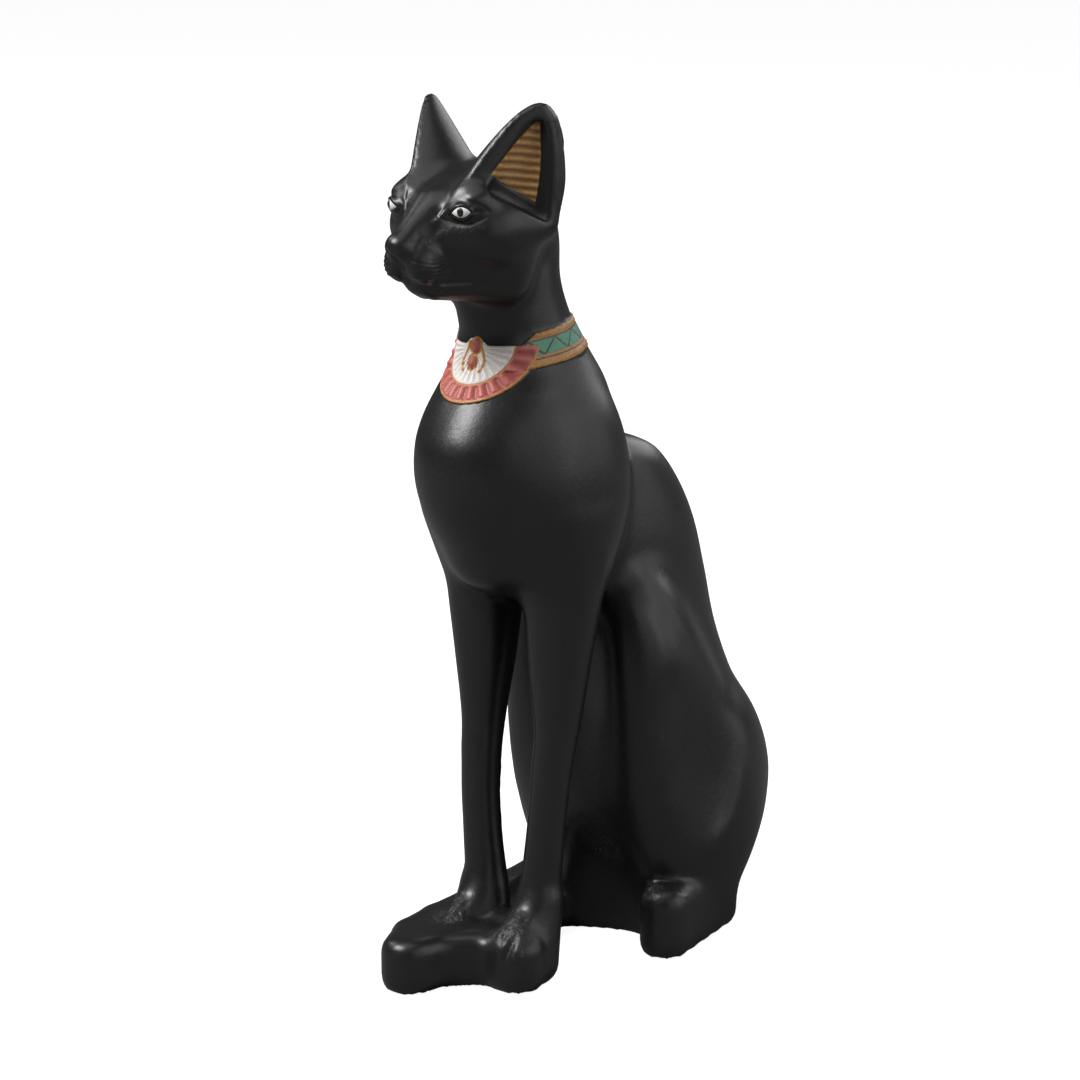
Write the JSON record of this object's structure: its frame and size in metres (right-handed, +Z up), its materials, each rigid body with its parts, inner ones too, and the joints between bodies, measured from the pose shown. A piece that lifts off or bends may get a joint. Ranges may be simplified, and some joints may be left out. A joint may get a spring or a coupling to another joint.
{
  "type": "cat figure",
  "caption": "Seated Egyptian cat figure, cast in one piece with its paws and tail as the base, with a painted collar, fan pendant and pointed ears.",
  "frame": {"origin": "middle of the footprint's bounding rectangle, on the underside", "axes": "+Z up, the cat faces -Y, its left side is +X"},
  "size_m": [0.055, 0.1164, 0.1998],
  "materials": {
    "black_glaze": "glossy black paint over cast resin, with gold, white, red and green painted trim"
  },
  "bodies": {
    "root": {"cat_figure": "black_glaze"}
  },
  "joints": []
}
